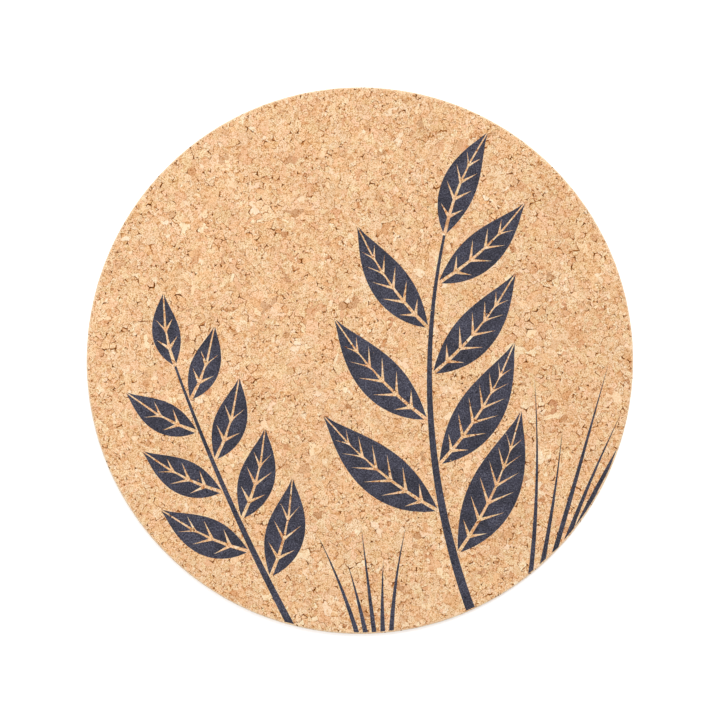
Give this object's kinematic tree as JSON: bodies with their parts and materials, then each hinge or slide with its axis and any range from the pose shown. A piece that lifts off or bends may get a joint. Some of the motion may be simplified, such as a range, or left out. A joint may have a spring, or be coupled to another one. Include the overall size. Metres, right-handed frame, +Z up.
{
  "type": "cork placemat",
  "caption": "Round flat placemat of pressed cork granules with a rounded edge and a dark leaf print on its upper face. It lies on a table and carries a plate.",
  "frame": {"origin": "centre of the underside, on the table", "axes": "+Z up, out of the printed face; +Y towards the top of the print; +X to its right"},
  "size_m": [0.29, 0.29, 0.0044],
  "materials": {
    "cork": "matte agglomerated cork, open grain with small dark pits",
    "print_ink": "matte dark slate screen-printing ink"
  },
  "bodies": {
    "root": {"cork_disc": "cork", "left_tuft_blade_01": "print_ink", "left_tuft_blade_02": "print_ink", "left_tuft_blade_03": "print_ink", "left_tuft_blade_04": "print_ink", "left_tuft_blade_05": "print_ink", "low_branch_leaf_01_left_half": "print_ink", "low_branch_leaf_01_right_half": "print_ink", "low_branch_leaf_02_left_half": "print_ink", "low_branch_leaf_02_right_half": "print_ink", "low_branch_leaf_03_left_half": "print_ink", "low_branch_leaf_03_right_half": "print_ink", "low_branch_leaf_04_left_half": "print_ink", "low_branch_leaf_04_right_half": "print_ink", "low_branch_leaf_05_left_half": "print_ink", "low_branch_leaf_05_right_half": "print_ink", "low_branch_leaf_06_left_half": "print_ink", "low_branch_leaf_06_right_half": "print_ink", "low_branch_leaf_07_left_half": "print_ink", "low_branch_leaf_07_right_half": "print_ink", "low_branch_stem": "print_ink", "low_branch_top_leaf_left_half": "print_ink", "low_branch_top_leaf_right_half": "print_ink", "right_tuft_blade_01": "print_ink", "right_tuft_blade_02": "print_ink", "right_tuft_blade_03": "print_ink", "right_tuft_blade_04": "print_ink", "right_tuft_blade_05": "print_ink", "tall_branch_leaf_01_left_half": "print_ink", "tall_branch_leaf_01_right_half": "print_ink", "tall_branch_leaf_02_left_half": "print_ink", "tall_branch_leaf_02_right_half": "print_ink", "tall_branch_leaf_03_left_half": "print_ink", "tall_branch_leaf_03_right_half": "print_ink", "tall_branch_leaf_04_left_half": "print_ink", "tall_branch_leaf_04_right_half": "print_ink", "tall_branch_leaf_05_left_half": "print_ink", "tall_branch_leaf_05_right_half": "print_ink", "tall_branch_leaf_06_left_half": "print_ink", "tall_branch_leaf_06_right_half": "print_ink", "tall_branch_leaf_07_left_half": "print_ink", "tall_branch_leaf_07_right_half": "print_ink", "tall_branch_stem": "print_ink", "tall_branch_top_leaf_left_half": "print_ink", "tall_branch_top_leaf_right_half": "print_ink"}
  },
  "joints": []
}
